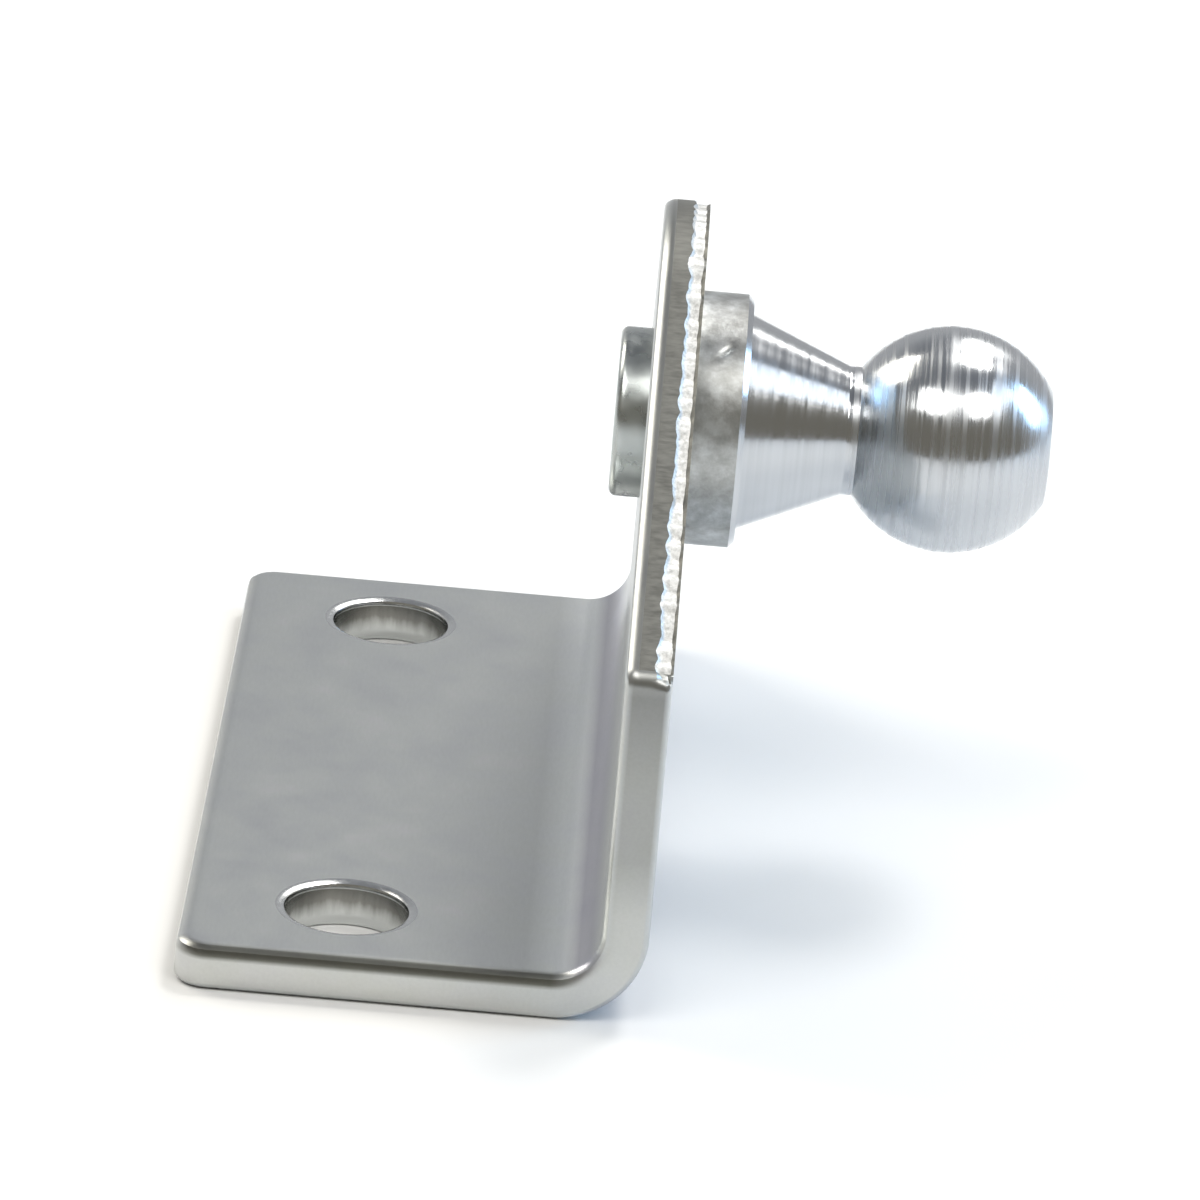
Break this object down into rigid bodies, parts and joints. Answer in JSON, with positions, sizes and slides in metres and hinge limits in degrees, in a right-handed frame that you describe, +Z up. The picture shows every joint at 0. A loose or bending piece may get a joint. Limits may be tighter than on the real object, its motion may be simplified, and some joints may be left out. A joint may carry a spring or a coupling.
{
  "type": "gas spring bracket",
  "caption": "Folded zinc-plated steel angle bracket: a base flange with screw holes and an upright that carries a riveted ball stud, to hold the socket end of a gas spring.",
  "frame": {"origin": "midway between the two screw holes, on the underside of the base flange", "axes": "+X towards the ball, +Y along the fold, +Z up, away from the surface that the bracket is screwed to"},
  "size_m": [0.0357, 0.045, 0.029],
  "materials": {
    "plated_sheet": "satin, clear zinc plating on punched sheet steel",
    "plated_stud": "bright, clear zinc plating over turning marks, with a matte collar"
  },
  "bodies": {
    "root": {"bracket_plate": "plated_sheet", "ball_stud": "plated_stud"}
  },
  "joints": []
}
